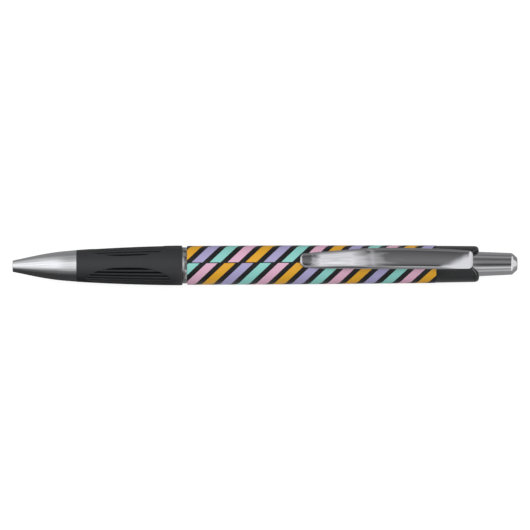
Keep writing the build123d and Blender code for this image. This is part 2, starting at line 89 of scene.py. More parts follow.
def flowing(points, distance):
    """The height at a distance, on a smooth line through (distance, height) points."""
    points = [points[0], *points, points[-1]]
    for before, start, end, after in zip(points, points[1:], points[2:], points[3:]):
        if distance <= end[0]:
            break
    length = end[0] - start[0]
    share = min(1, max(0, (distance - start[0]) / length))
    lean_in = (end[1] - before[1]) / (end[0] - before[0]) * length
    lean_out = (after[1] - start[1]) / (after[0] - start[0]) * length
    middle = start[1] * (2 * share ** 3 - 3 * share ** 2 + 1)
    middle += end[1] * (3 * share ** 2 - 2 * share ** 3)
    return middle + lean_in * share * (1 - share) ** 2 - lean_out * share ** 2 * (1 - share)


def bowed(start, middle, end, steps):
    """Points on the gentle curve through three (distance, radius) places."""
    (x0, y0), (x1, y1), (x2, y2) = start, middle, end
    points = []
    for step in range(steps + 1):
        x = x0 + (x2 - x0) * step / steps
        points.append((x, y0 * (x - x1) * (x - x2) / ((x0 - x1) * (x0 - x2))
                       + y1 * (x - x0) * (x - x2) / ((x1 - x0) * (x1 - x2))
                       + y2 * (x - x0) * (x - x1) / ((x2 - x0) * (x2 - x1))))
    return points


def eased(before, corner, after, size, steps=6):
    """Points that round off a corner of an outline, over a length of size on each side."""
    before, corner, after = Vector(before), Vector(corner), Vector(after)
    start = corner + (before - corner).normalized() * size
    end = corner + (after - corner).normalized() * size
    places = [step / steps for step in range(steps + 1)]
    return [tuple(start.lerp(corner, t).lerp(corner.lerp(end, t), t)) for t in places]


def lathe(outline, sectors=128, closed=True):
    """A round form, spun about the pen's axis from an outline of (distance, radius) points."""
    form = bmesh.new()
    rim = [form.verts.new((station(x), 0, AXIS_HEIGHT + r * MM)) for x, r in outline]
    pairs = zip(rim, rim[1:] + rim[:1]) if closed else zip(rim, rim[1:])
    edges = [form.edges.new(pair) for pair in pairs]
    bmesh.ops.spin(form, geom=rim + edges, cent=(0, 0, AXIS_HEIGHT), axis=(1, 0, 0),
                   angle=2 * pi, steps=sectors, use_merge=True)
    bmesh.ops.remove_doubles(form, verts=form.verts, dist=1e-7)
    bmesh.ops.recalc_face_normals(form, faces=form.faces)
    return form


def hex_colour(code):
    """A linear colour from its sRGB hex value."""
    parts = [int(code[place:place + 2], 16) / 255 for place in (1, 3, 5)]
    return (*[part / 12.92 if part <= 0.04045 else ((part + 0.055) / 1.055) ** 2.4
              for part in parts], 1)


def add_node(tree, kind, inputs=None, **settings):
    """Adds a node with its settings; each input is a value or the output that feeds it."""
    node = tree.nodes.new(kind)
    for name, value in settings.items():
        setattr(node, name, value)
    for name, value in (inputs or {}).items():
        if isinstance(value, bpy.types.NodeSocket):
            tree.links.new(value, node.inputs[name])
        else:
            node.inputs[name].default_value = value
    return node


def new_finish(name, colour, **values):
    """A named material, its node tree and its shader, with the shader's plain values set."""
    finish = bpy.data.materials.new(name)
    finish.use_nodes = True
    shader = finish.node_tree.nodes["Principled BSDF"]
    shader.inputs["Base Color"].default_value = hex_colour(colour)
    for key, value in values.items():
        shader.inputs[key.replace("_", " ")].default_value = value
    return finish, finish.node_tree, shader


def grain(tree, size, detail=3, stretch=(1, 1, 1)):
    """A noise on the piece, with lumps of about size millimetres."""
    place = add_node(tree, "ShaderNodeTexCoord").outputs["Object"]
    spread = add_node(tree, "ShaderNodeMapping", {"Vector": place, "Scale": stretch})
    noise = add_node(tree, "ShaderNodeTexNoise", {
        "Vector": spread.outputs["Vector"], "Scale": 1 / (size * MM), "Detail": detail})
    return noise.outputs["Fac"]


def between(tree, signal, low, high):
    """A signal's middle part, spread from low to high."""
    return add_node(tree, "ShaderNodeMapRange", {
        "Value": signal, "From Min": 0.3, "From Max": 0.7, "To Min": low, "To Max": high,
    }).outputs["Result"]


def relief(tree, shader, signal, depth):
    """Raises and lowers the surface by up to depth millimetres."""
    bump = add_node(tree, "ShaderNodeBump", {"Height": signal, "Distance": depth * MM})
    tree.links.new(bump.outputs["Normal"], shader.inputs["Normal"])


def plated_metal(name, colour, smooth, dull, mark, depth):
    """Plated metal: its roughness wanders from smooth to dull, and mark is its lines' spacing."""
    finish, tree, shader = new_finish(name, colour, Metallic=1)
    haze = between(tree, grain(tree, 4), smooth, dull)
    tree.links.new(haze, shader.inputs["Roughness"])
    relief(tree, shader, grain(tree, mark, stretch=(1, 0.05, 0.05)), depth)
    return finish


def finish_piece(form, name, body, nodes, finish, sharp=30):
    """Makes the form an object with its finish, ties it to its body and hides the CAD nodes it replaces."""
    mesh = bpy.data.meshes.new(name)
    form.to_mesh(mesh)
    form.free()
    mesh.shade_smooth()
    mesh.set_sharp_from_angle(angle=radians(sharp))
    mesh.materials.append(finish)
    piece = bpy.data.objects.new(name, mesh)
    bpy.context.scene.collection.objects.link(piece)
    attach(piece, body)
    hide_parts(*nodes)
    return piece


nose_places = [NOSE_RIM[0] + (NOSE_END - NOSE_RIM[0]) * step / NOSE_STEPS
               for step in range(NOSE_STEPS + 1)]
nose_outline = (
    eased(NOSE_MOUTH, NOSE_FACE, NOSE_RIM, RIM_ROUND)
    + [(place, flowing(NOSE_OGIVE, place)) for place in nose_places]
    + list(reversed(NOSE_BORE))
    + eased(NOSE_BORE[0], NOSE_MOUTH, NOSE_FACE, MOUTH_ROUND, 3)
)
# satin chrome plating on turned brass: bright, with the lathe's fine rings still to be seen
satin_chrome = plated_metal("satin_chrome_on_brass", "#d0d1d4", 0.07, 0.12, TURNING_MARK, 0.0006)
finish_piece(lathe(nose_outline, 160), "plated_nose", "holder", ["nose_cone"],
             satin_chrome)


# ---- grip ----
# A sleeve of soft black thermoplastic rubber, moulded over the front barrel. It has three
# lens-shaped finger pads, each sunk a little and cut by seven lengthwise grooves.

GRIP_START, GRIP_END = span("grip_sleeve")
GRIP_RADIUS = radius("grip_sleeve")
GRIP_CORE = 3.85
GRIP_NECK, GRIP_SWELL, GRIP_FULL = (0.4, 4.51), (32.5, 5.25), 46
GRIP_END_ROUND = 0.5
PAD_ANGLES = (60, 180, -60)      # degrees from the clip
PAD_MIDDLE, PAD_HALF_LENGTH, PAD_HALF_WIDTH = 32.6, 11.7, 43
PAD_DEPTH, GROOVE_DEPTH = 0.08, 0.5
PAD_FADE, GROOVE_FADE = 4, 3     # degrees over which a pad and its grooves run out
GROOVE_PITCH = 12.1              # degrees from one groove to the next
GROOVE_SHARE = 0.38              # of the pitch, from a groove's middle to its edge
# the rubber's own black, and the painted shade colour used down in its grooves
RUBBER_BLACK, GROOVE_PAINTED_SHADE = "#1c1d21", "#060708"


def smooth(value):
    """Rises gently from 0 to 1."""
    value = min(1, max(0, value))
    return value * value * (3 - 2 * value)


def pad_sink(distance, angle):
    """How deep a pad and its groove are at a place on the grip, in millimetres."""
    along = (distance - PAD_MIDDLE) / PAD_HALF_LENGTH
    pad, cut = 0, 0
    for middle in PAD_ANGLES:
        aside = (angle - middle + 180) % 360 - 180
        room = PAD_HALF_WIDTH * sqrt(max(0, 1 - along ** 2)) - abs(aside)
        if room > 0:
            turns = aside / GROOVE_PITCH
            near = min(1, abs(turns - round(turns)) / GROOVE_SHARE)
            groove = (0.5 + 0.5 * cos(pi * near)) ** 1.1
            pad = PAD_DEPTH * smooth(room / PAD_FADE)
            cut = GROOVE_DEPTH * groove * smooth(room / GROOVE_FADE)
    return pad, cut


grip_outline = (
    [(GRIP_START, GRIP_CORE)]
    + eased((GRIP_START, GRIP_CORE), (GRIP_START, 4.5), (GRIP_START + 1, 4.53), 0.08, 3)
    + bowed((GRIP_START + GRIP_NECK[0], GRIP_NECK[1]), GRIP_SWELL, (GRIP_FULL, GRIP_RADIUS), 120)
    + eased((GRIP_FULL, GRIP_RADIUS), (GRIP_END, GRIP_RADIUS), (GRIP_END, GRIP_CORE), GRIP_END_ROUND)
    + [(GRIP_END, GRIP_CORE)]
)
grip_form = lathe(grip_outline, 420)
# each corner keeps how far down a groove it lies, which the rubber's painted shade reads
shade = grip_form.verts.layers.float.new("groove")
for corner in grip_form.verts:
    across, up = corner.co.y, corner.co.z - AXIS_HEIGHT
    out = sqrt(across ** 2 + up ** 2)
    if out > (GRIP_CORE + 0.1) * MM:
        pad, cut = pad_sink((corner.co.x - NOSE_TIP) / MM, degrees(atan2(across, up)))
        corner[shade], sunk = cut / GROOVE_DEPTH, (pad + cut) * MM
        corner.co.y -= across / out * sunk
        corner.co.z -= up / out * sunk


def maths(tree, operation, first, second=0.0, third=0.0):
    """One step of arithmetic on a signal."""
    return add_node(tree, "ShaderNodeMath", {0: first, 1: second, 2: third},
                    operation=operation).outputs[0]


def mixed(tree, share, first, second):
    """A mixture of two colours."""
    mix = add_node(tree, "ShaderNodeMix", {"Factor": share}, data_type="RGBA")
    for place, value in ((6, first), (7, second)):
        if isinstance(value, bpy.types.NodeSocket):
            tree.links.new(value, mix.inputs[place])
        else:
            mix.inputs[place].default_value = value
    return mix.outputs[2]


def moulded(name, colour, roughness, wander, size, depth, **values):
    """Moulded plastic or rubber: a fine skin of lumps of size millimetres, and a wandering gloss."""
    finish, tree, shader = new_finish(name, colour, **values)
    gloss = between(tree, grain(tree, 6), roughness - wander, roughness + wander)
    tree.links.new(gloss, shader.inputs["Roughness"])
    relief(tree, shader, grain(tree, size), depth)
    return finish


# soft thermoplastic rubber as it leaves a lightly blasted mould, with painted shade down in its grooves: a
# darker colour and a weaker reflection there
grip_rubber = moulded("thermoplastic_rubber", RUBBER_BLACK, 0.5, 0.05, 0.16, 0.004, IOR=1.6)
rubber_tree = grip_rubber.node_tree
# painted shade: the groove share darkens the colour and lowers the reflection down in the grooves
groove = add_node(rubber_tree, "ShaderNodeAttribute", attribute_name="groove").outputs["Fac"]
groove_shade_specular = maths(rubber_tree, "SUBTRACT", 0.5, maths(rubber_tree, "MULTIPLY", groove, 0.45))
rubber_shader = rubber_tree.nodes["Principled BSDF"]
rubber_tree.links.new(groove_shade_specular, rubber_shader.inputs["Specular IOR Level"])
rubber_colour_with_painted_shade = mixed(rubber_tree, groove, hex_colour(RUBBER_BLACK), hex_colour(GROOVE_PAINTED_SHADE))
rubber_tree.links.new(rubber_colour_with_painted_shade, rubber_shader.inputs["Base Color"])
finish_piece(grip_form, "rubber_grip", "holder", ["grip_sleeve"], grip_rubber, 50)


# ---- trim ring ----
# A narrow band of plated brass, slipped on between the grip and the barrel and sitting a little
# lower than both. Its edges are broken by a small turned bevel.

RING_START, RING_END = span("trim_ring")
RING_RADIUS = radius("trim_ring")
RING_BORE = 4.08
RING_EDGE = 0.12
RING_GREYS = ("#7a7876", "#c8c8ca")

ring_outline = (
    [(RING_START, RING_BORE)]
    + eased((RING_START, RING_BORE), (RING_START, RING_RADIUS), (RING_END, RING_RADIUS), RING_EDGE, 3)
    + eased((RING_START, RING_RADIUS), (RING_END, RING_RADIUS), (RING_END, RING_BORE), RING_EDGE, 3)
    + [(RING_END, RING_BORE)]
)
# brushed chrome plating on brass, unevenly rubbed
ring_chrome = plated_metal("brushed_chrome_on_brass", RING_GREYS[1], 0.12, 0.26, 0.5, 0.012)
ring_tree = ring_chrome.node_tree
rubbed = between(ring_tree, grain(ring_tree, 0.9, 2), 0, 1)
rubbed = mixed(ring_tree, rubbed, hex_colour(RING_GREYS[0]), hex_colour(RING_GREYS[1]))
ring_tree.links.new(rubbed, ring_tree.nodes["Principled BSDF"].inputs["Base Color"])
finish_piece(lathe(ring_outline, 160), "plated_ring", "holder", ["trim_ring"],
             ring_chrome)


# ---- printed wrap ----
# A clear film, printed on its back with slanting stripes in four colours on black, and shrunk
# over the barrel. Its two long edges meet in a line beside the clip, where the stripes miss.

WRAP_START, WRAP_END = span("printed_wrap")
WRAP_RADIUS = radius("printed_wrap")
WRAP_TAPER_START, WRAP_END_RADIUS, BARREL_DROP = 79.5, 5.3, 0.1
STRIPE_CYCLE = 20.15             # millimetres along the pen for all four colours
STRIPE_WIDTH = 3.07              # of each colour, along the pen
STRIPE_SLANT = 1.07              # millimetres along the pen for each millimetre across it
FRONT_ANGLE = 13.0               # degrees from the clip towards -Y, where the artwork faces
FRONT_REACH = 71                 # degrees each side of that, where the stripes look straight
BACK_STRETCH = 1.0544            # how much faster they wind round the back
BLEND = 0.2                      # radians over which the one passes into the other
SEAM_ANGLE = 8.5                 # degrees from the artwork's middle, towards +Y
SEAM_LAP = 2.6                   # degrees of bare black beside the seam
FIRST_STRIPE = -14.42            # where a lavender stripe's middle leaves the straight part
STRIPE_COLOURS = ("#a8a1cb", "#8bd0c8", "#dfafc7", "#e2a522")
PRINT_BLACK, SEAM_BLACK = "#0e0d11", "#050505"


def printed_film(name):
    """Printed, satin shrink film: the stripes wind round the barrel from the seam."""
    finish, tree, shader = new_finish(name, PRINT_BLACK, Roughness=0.42, IOR=1.42)
    place = add_node(tree, "ShaderNodeTexCoord").outputs["Object"]
    centred = add_node(tree, "ShaderNodeMapping", {
        "Vector": place, "Location": (-FIRST_STRIPE * MM, 0, -AXIS_HEIGHT)}).outputs["Vector"]
    parts = add_node(tree, "ShaderNodeSeparateXYZ", {"Vector": centred}).outputs
    turn = maths(tree, "ARCTAN2", parts["Y"], parts["Z"])
    turn = maths(tree, "ADD", turn, radians(FRONT_ANGLE - SEAM_ANGLE))
    turn = maths(tree, "FLOORED_MODULO", turn, 2 * pi)
    shown = maths(tree, "LESS_THAN", turn, 2 * pi - radians(SEAM_LAP))
    turn = maths(tree, "ADD", turn, radians(SEAM_ANGLE))
    round_back = maths(tree, "SMOOTH_MAX", turn, radians(FRONT_REACH), BLEND)
    round_back = maths(tree, "SMOOTH_MIN", round_back, radians(360 - FRONT_REACH), BLEND)
    across = maths(tree, "SUBTRACT", maths(tree, "SINE", turn), maths(tree, "SINE", round_back))
    behind = maths(tree, "SUBTRACT", round_back, radians(FRONT_REACH))
    behind = maths(tree, "MULTIPLY", behind, BACK_STRETCH)
    wound = maths(tree, "MULTIPLY", maths(tree, "ADD", across, behind),
                  STRIPE_SLANT * WRAP_RADIUS * MM)
    along = maths(tree, "SUBTRACT", parts["X"], wound)
    cycles = maths(tree, "DIVIDE", along, STRIPE_CYCLE * MM)
    share = maths(tree, "FLOORED_MODULO", maths(tree, "ADD", cycles, 0.125), 1.0)
    print_ramp = add_node(tree, "ShaderNodeValToRGB", {"Fac": share})
    stops = print_ramp.color_ramp.elements
    print_ramp.color_ramp.interpolation = "CONSTANT"
    half = STRIPE_WIDTH / STRIPE_CYCLE / 2
    stops[0].position, stops[0].color = 0, hex_colour(PRINT_BLACK)
    stops[1].position, stops[1].color = 0.125 + half, hex_colour(PRINT_BLACK)
    for index, colour in enumerate(STRIPE_COLOURS):
        middle = 0.125 + index / len(STRIPE_COLOURS)
        stops.new(middle - half).color = hex_colour(colour)
        if index:
            stops.new(middle + half).color = hex_colour(PRINT_BLACK)
    artwork = mixed(tree, shown, hex_colour(SEAM_BLACK), print_ramp.outputs["Color"])
    tree.links.new(artwork, shader.inputs["Base Color"])
    relief(tree, shader, grain(tree, 1.4, stretch=(0.4, 1, 1)), 0.004)
    return finish


def wrap_radius(distance):
    """The wrap's radius where it narrows towards the end cap."""
    share = (distance - WRAP_TAPER_START) / (WRAP_END - WRAP_TAPER_START)
    return WRAP_RADIUS + (WRAP_END_RADIUS - WRAP_RADIUS) * share


wrap_outline = (
    [(WRAP_START, WRAP_RADIUS - BARREL_DROP)]
    + eased((WRAP_START, WRAP_RADIUS - BARREL_DROP), (WRAP_START, WRAP_RADIUS),
            (WRAP_TAPER_START, WRAP_RADIUS), 0.06, 3)
    + [(60, WRAP_RADIUS), (70, WRAP_RADIUS), (WRAP_TAPER_START, WRAP_RADIUS)]
    + [(distance, wrap_radius(distance)) for distance in (90, 105)]
    + eased((105, wrap_radius(105)), (WRAP_END, WRAP_END_RADIUS), (WRAP_END, WRAP_END_RADIUS - BARREL_DROP),
            0.06, 3)
    + [(WRAP_END, WRAP_END_RADIUS - BARREL_DROP), (WRAP_TAPER_START, WRAP_RADIUS - BARREL_DROP)]
)
finish_piece(lathe(wrap_outline, 180), "striped_wrap", "holder", ["printed_wrap"],
             printed_film("printed_shrink_film"))


# ---- end cap ----
# A black ABS sleeve, pushed into the barrel's rear end. Its end is notched on the clip's side
# between two rounded lobes, and a slot through its wall takes the clip's foot.

CAP_START = WRAP_END
CAP_SPIGOT_START, CAP_END = span("end_cap")
CAP_RADIUS, CAP_END_RADIUS = radius("end_cap"), 5.05
CAP_BORE, CAP_WALL_START, CAP_HOLE = 4.0, 129.3, 3.55
CAP_SPIGOT_RADIUS = 4.6
CAP_SECTORS = 256
SLOT_START, SLOT_END, SLOT_HALF_SECTORS = 127.1, 128.7, 13
NOTCH_FLOOR, NOTCH_FLOOR_HALF, NOTCH_MOUTH_HALF = 129.4, 2.3, 4.4
NOTCH_CHAMFER, NOTCH_CHAMFER_FROM = 0.6, 4.6
CAP_END_ROUND, CAP_STEPS = 1.35, 14

rear = eased((CAP_START, CAP_RADIUS), (CAP_END, CAP_END_RADIUS), (CAP_END, CAP_HOLE),
             CAP_END_ROUND, CAP_STEPS)
cap_outline = (
    [(CAP_SPIGOT_START, CAP_BORE), (CAP_SPIGOT_START, CAP_SPIGOT_RADIUS),
     (CAP_START, CAP_SPIGOT_RADIUS)]
    + eased((CAP_START, CAP_SPIGOT_RADIUS), (CAP_START, CAP_RADIUS), (SLOT_START, CAP_RADIUS), 0.08, 3)
    + [(x, CAP_RADIUS + (CAP_END_RADIUS - CAP_RADIUS) * (x - CAP_START) / (CAP_END - CAP_START))
       for x in (123, SLOT_START, SLOT_END, 129.2, 129.5, 129.8, 130)]
    + rear
    + eased((CAP_END, 3.7), (CAP_END, CAP_HOLE), (CAP_WALL_START, CAP_HOLE), 0.1, 3)
    + [(130.6, CAP_HOLE), (130.2, CAP_HOLE), (129.8, CAP_HOLE), (CAP_WALL_START, CAP_HOLE),
       (CAP_WALL_START, CAP_BORE), (SLOT_END, CAP_BORE), (SLOT_START, CAP_BORE)]
)
cap_form = lathe(cap_outline, CAP_SECTORS)
for corner in cap_form.verts:
    aside, up = abs(corner.co.y) / MM, corner.co.z - AXIS_HEIGHT
    slope = (aside - NOTCH_FLOOR_HALF) / (NOTCH_MOUTH_HALF - NOTCH_FLOOR_HALF)
    limit = NOTCH_FLOOR + max(0, slope) * (CAP_END - NOTCH_FLOOR)
    limit -= NOTCH_CHAMFER * max(0, sqrt(aside ** 2 + (up / MM) ** 2) - NOTCH_CHAMFER_FROM)
    if up > 0 and corner.co.x > station(limit):
        corner.co.x = station(limit)

slot_middle = station((SLOT_START + SLOT_END) / 2)
slot_reach = sin(2 * pi * SLOT_HALF_SECTORS / CAP_SECTORS)


def in_slot(face):
    """Whether a face of the cap lies where the clip's foot goes through."""
    middle = face.calc_center_median()
    aside, up = middle.y, middle.z - AXIS_HEIGHT
    return (abs(middle.x - slot_middle) < (SLOT_END - SLOT_START) / 2 * MM and up > 0
            and abs(aside) < slot_reach * sqrt(aside ** 2 + up ** 2))


bmesh.ops.delete(cap_form, geom=[face for face in cap_form.faces if in_slot(face)], context="FACES")
open_edges = [edge for edge in cap_form.edges if edge.is_boundary]
bmesh.ops.bridge_loops(cap_form, edges=open_edges)
bmesh.ops.recalc_face_normals(cap_form, faces=cap_form.faces)
# ABS from a polished mould
cap_plastic = moulded("satin_black_abs", "#1f2022", 0.3, 0.04, 0.3, 0.002, Coat_Weight=0.15)
finish_piece(cap_form, "black_end_cap", "holder", ["end_cap"], cap_plastic, 28)


# ---- push button ----
# A moulded cap with a bright chrome plating, slightly tapered, with a rounded shoulder and a flat
# end. A flange inside the end cap keeps it in.

BUTTON_START, BUTTON_END = span("push_button")
BUTTON_BORE, BUTTON_BORE_END = 2.57, 137.0
FLANGE_RADIUS, FLANGE_END = radius("push_button"), 129.2
BUTTON_RADIUS, BUTTON_TAPER_START, BUTTON_TAPER = 3.475, 130.5, 0.0415
BUTTON_SHOULDER, BUTTON_SHOULDER_RADIUS = 140.5, 3.06
BUTTON_FLAT = 1.7

button_outline = (
    [(BUTTON_BORE_END, 0), (BUTTON_BORE_END, BUTTON_BORE), (BUTTON_START, BUTTON_BORE),
     (BUTTON_START, FLANGE_RADIUS), (FLANGE_END, FLANGE_RADIUS), (FLANGE_END, BUTTON_RADIUS),
     (BUTTON_TAPER_START, BUTTON_RADIUS)]
    + [(x, BUTTON_RADIUS - BUTTON_TAPER * (x - BUTTON_TAPER_START)) for x in (133, 135.5, 138)]
    + eased((138, 3.164), (BUTTON_SHOULDER, BUTTON_SHOULDER_RADIUS), (BUTTON_END, BUTTON_FLAT), 0.4, 8)
    + eased((BUTTON_SHOULDER, BUTTON_SHOULDER_RADIUS), (BUTTON_END, BUTTON_FLAT), (BUTTON_END, 0),
            0.35, 8)
    + [(BUTTON_END, 0.6), (BUTTON_END, 0)]
)
# bright chrome plating on polished ABS
bright_chrome = plated_metal("bright_chrome_on_abs", "#d0d0d3", 0.06, 0.1, 1.5, 0.0004)
finish_piece(lathe(button_outline, 160, closed=False), "plated_button", "button", ["push_button"],
             bright_chrome)


# ---- clip ----
# A strip of spring steel, pressed to a long bow with its edges rolled down, and chrome plated.
# Its flared tip bears on the barrel and its foot is caught in the end cap's slot.

CLIP_START, CLIP_END = span("clip")
CLIP_BOW = ((80.9, 6.5), (82.4, 6.32), (84, 6.25), (86, 6.36), (88, 6.65), (90, 7.02), (92, 7.42),
            (94, 7.78), (96, 8.08), (98, 8.3), (100, 8.45), (104, 8.585), (107, 8.57), (111, 8.42),
            (115, 8.1), (119, 7.64), (122.5, 7.08), (126, 6.44), (129.4, 5.75))
CLIP_HALF_WIDTH = ((80.9, 1.95), (83, 2.1), (86, 2.37), (90, 2.55), (94, 2.75), (99, 2.95), (105, 3.04),
                   (112, 3.02), (122, 2.9), (126, 2.74), (129.4, 2.55))
CLIP_TIP_ROUND, CLIP_ROOT_ROUND = 1.4, 1.3
CLIP_CROWN = 0.32                 # how much the face falls from its middle to its edge
CLIP_ROLL = 1.1                   # the width of the rolled edge
CLIP_ROLL_DROP = ((80.9, 0.3), (86, 0.38), (94, 0.7), (118, 0.7), (125, 0.35), (129.4, 0.12))
CLIP_ROWS, CLIP_COLUMNS = 170, 36
CLIP_CROWDING = 0.09              # how much the rows crowd together towards both ends
CLIP_SHEET = 0.45
# the folded foot's bend, and the half width that fits in the cap's slot
CLIP_FOOT = ((128.6, 5.58), (128.4, 5.36), (128.15, 5.1), (128.05, 4.85), (128.0, 4.45))
CLIP_FOOT_HALF_WIDTH = 1.25


def clip_corner(distance):
    """The rounding of the nearer end's corners, and how far that end is."""
    to_tip, to_root = distance - CLIP_START, CLIP_END - distance
    return (CLIP_TIP_ROUND, to_tip) if to_tip < to_root else (CLIP_ROOT_ROUND, to_root)


def corner_loss(distance):
    """How much a rounded corner takes off the half width."""
    size, left = clip_corner(distance)
    inside = max(0, size - left)
    return size - sqrt(max(0, size ** 2 - inside ** 2))


def edge_distance(distance, aside):
    """How far a place on the clip's face is from its edge."""
    size, left = clip_corner(distance)
    half = flowing(CLIP_HALF_WIDTH, distance)
    over, behind = abs(aside) - (half - size), size - left
    if over > 0 and behind > 0:
        return size - sqrt(over ** 2 + behind ** 2)
    return min(half - abs(aside), left)


clip_form = bmesh.new()
bmesh.ops.create_grid(clip_form, x_segments=CLIP_ROWS, y_segments=CLIP_COLUMNS, size=1)
for corner in clip_form.verts:
    place = (corner.co.x + 1) / 2
    place -= CLIP_CROWDING * sin(2 * pi * place)
    distance = CLIP_START + (CLIP_END - CLIP_START) * place
    half = flowing(CLIP_HALF_WIDTH, distance) - corner_loss(distance)
    aside = half * sin(corner.co.y * pi / 2)
    roll = 1 - min(1, max(0, edge_distance(distance, aside)) / CLIP_ROLL)
    drop = flowing(CLIP_ROLL_DROP, distance) * (1 - sqrt(1 - roll ** 2))
    drop += CLIP_CROWN * (aside / flowing(CLIP_HALF_WIDTH, distance)) ** 2
    height = flowing(CLIP_BOW, distance) - drop
    corner.co = (station(distance), aside * MM, AXIS_HEIGHT + height * MM)
bmesh.ops.recalc_face_normals(clip_form, faces=clip_form.faces)
if sum(face.normal.z for face in clip_form.faces) < 0:
    bmesh.ops.reverse_faces(clip_form, faces=clip_form.faces)
foot_steps = len(CLIP_FOOT) - 1
foot = bmesh.ops.create_grid(clip_form, x_segments=foot_steps, y_segments=6, size=1)["verts"]
for corner in foot:
    distance, height = CLIP_FOOT[round((corner.co.x + 1) / 2 * foot_steps)]
    corner.co = (station(distance), corner.co.y * CLIP_FOOT_HALF_WIDTH * MM, AXIS_HEIGHT + height * MM)
bmesh.ops.solidify(clip_form, geom=clip_form.faces, thickness=CLIP_SHEET * MM)
bmesh.ops.recalc_face_normals(clip_form, faces=clip_form.faces)
# bright chrome plating on pressed spring steel
clip_chrome = plated_metal("bright_chrome_on_spring_steel", "#b7b7bb", 0.05, 0.08, 2.5, 0.0006)
finish_piece(clip_form, "pressed_clip", "clip", ["clip"], clip_chrome, 40)


# ---- return spring ----
# Hard-drawn steel wire, wound to nine open coils between the nose's seat and the refill's
# shoulder. It closes up as the button is pressed.

SPRING_START, SPRING_END = span("return_spring")
COIL_RADIUS, WIRE_RADIUS, COILS, STEPS_PER_COIL = 2.22, 0.2, 9, 40

coil_steps = COILS * STEPS_PER_COIL
spring_form = bmesh.new()
wire = bmesh.ops.create_circle(spring_form, radius=WIRE_RADIUS * MM, segments=10)["verts"]
for corner in wire:
    corner.co = (station(SPRING_START + WIRE_RADIUS) + corner.co.x, 0,
                 AXIS_HEIGHT + COIL_RADIUS * MM + corner.co.y)
climb = (SPRING_END - SPRING_START - 2 * WIRE_RADIUS) * MM / coil_steps
bmesh.ops.spin(spring_form, geom=wire + spring_form.edges[:], cent=(0, 0, AXIS_HEIGHT),
               axis=(1, 0, 0), dvec=(climb, 0, 0), angle=2 * pi * COILS, steps=coil_steps)
bmesh.ops.holes_fill(spring_form, edges=[e for e in spring_form.edges if e.is_boundary], sides=0)
bmesh.ops.recalc_face_normals(spring_form, faces=spring_form.faces)
# steel wire, hard drawn and bright
spring_wire = plated_metal("drawn_spring_wire", "#a7a9ac", 0.2, 0.3, 0.2, 0.0006)
coil = finish_piece(spring_form, "coiled_spring", "holder", ["return_spring"],
                    spring_wire, 60)
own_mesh(coil)


# ---- inner pieces ----
# These stay as the CAD made them, and each gets the finish of its real material: moulded plastics,
# turned and drawn metals, ink and grease. They show where the refill's tip comes out of the nose.

def refinish(node, finish):
    """Gives a CAD piece its finish."""
    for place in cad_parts[node].material_slots:
        place.material = finish


refinish("front_barrel", moulded("black_abs_core", "#202123", 0.45, 0.05, 0.4, 0.002))
refinish("barrel", moulded("white_abs_tube", "#e9e9e6", 0.3, 0.04, 0.6, 0.002))
acetal = moulded("natural_acetal", "#e4e2dc", 0.42, 0.04, 0.3, 0.002, Subsurface_Weight=0.1)
refinish("guide_sleeve", acetal)
refinish("index_cam", acetal)
refinish("plunger", moulded("blue_acetal", "#2f6fb0", 0.42, 0.04, 0.3, 0.002))
refinish("refill_tip", plated_metal("turned_nickel_silver", "#cfc8b8", 0.18, 0.26, 0.05, 0.0006))
refinish("writing_ball", plated_metal("ground_carbide", "#9c9ea1", 0.1, 0.16, 0.1, 0.0002))
refinish("tip_holder", plated_metal("turned_brass", "#d3b36a", 0.2, 0.3, 0.08, 0.0006))
refinish("refill_tube", plated_metal("drawn_steel_tube", "#c2c4c6", 0.24, 0.32, 0.3, 0.0006))
refinish("ink_column", moulded("ballpoint_ink", "#0e0f12", 0.1, 0.03, 2, 0.001))
refinish("ink_follower", moulded("clear_grease", "#d9d2b4", 0.15, 0.04, 1, 0.002))
refinish("refill_plug", moulded("grey_nylon_plug", "#3a3b3e", 0.45, 0.05, 0.3, 0.002))


# ---- studio light ----
# A soft white dome, with softboxes and dark cards round the pen that only polished metal shows.
# The cards stand square to the camera, which looks steeply down on the pen.

CAMERA_ELEVATION = 77
# brightness of what metal mirrors, by the angle in degrees round the pen from the camera
CARDS_OVER_PEN = (
    (-180, 0.35), (-140, 0.38), (-118, 0.33), (-101, 0.39), (-87, 0.5), (-74, 0.66), (-60, 0.6),
    (-53, 0.22), (-46, 0.7), (-35, 0.95), (-28, 0.45), (-20, 0.25), (-13, 0.08), (-2, 0.1),
    (9, 0.26), (19, 0.33), (30, 0.26), (46, 0.14), (60, 0.24), (72, 0.46), (80, 0.3), (98, 0.2),
    (135, 0.26), (180, 0.35))
CARDS_OVER_NOSE = (
    (-180, 0.3), (-124, 0.2), (-100, 0.13), (-81, 0.06), (-65, 0.12), (-49, 0.18), (-35, 0.42),
    (-21, 0.9), (-8, 1.3), (5, 1.5), (25, 1.6), (40, 1.45), (50, 1.2), (62, 0.95), (78, 0.7),
    (96, 0.5), (119, 0.38), (180, 0.38))
# along the pen, the cards change where metal mirrors these leans towards the button
NOSE_CARDS_FROM, NOSE_CARDS_TO = 0.03, -0.24
BUTTON_CARD_FROM, BUTTON_CARD_TO = 0.325, 0.36
FAR_CARD_START, FAR_CARD_END = 0.45, 0.7
FAR_CARD_NEAR, FAR_CARD_FAR = 1.45, 1.05       # its brightness at its start and its end
SLIT_PLACE, SLIT_HALF_WIDTH, SLIT_BRIGHTNESS = -0.066, 0.004, 1.5
# the dome's brightness: overhead, all round, and what its far side adds
DOME_ABOVE, DOME_ROUND, DOME_BEHIND = 1.28, 0.15, 0.3
PAPER_WHITE = (0.96, 0.96, 0.965, 1)


def grey(brightness):
    """A neutral colour."""
    return (brightness,) * 3 + (1,)


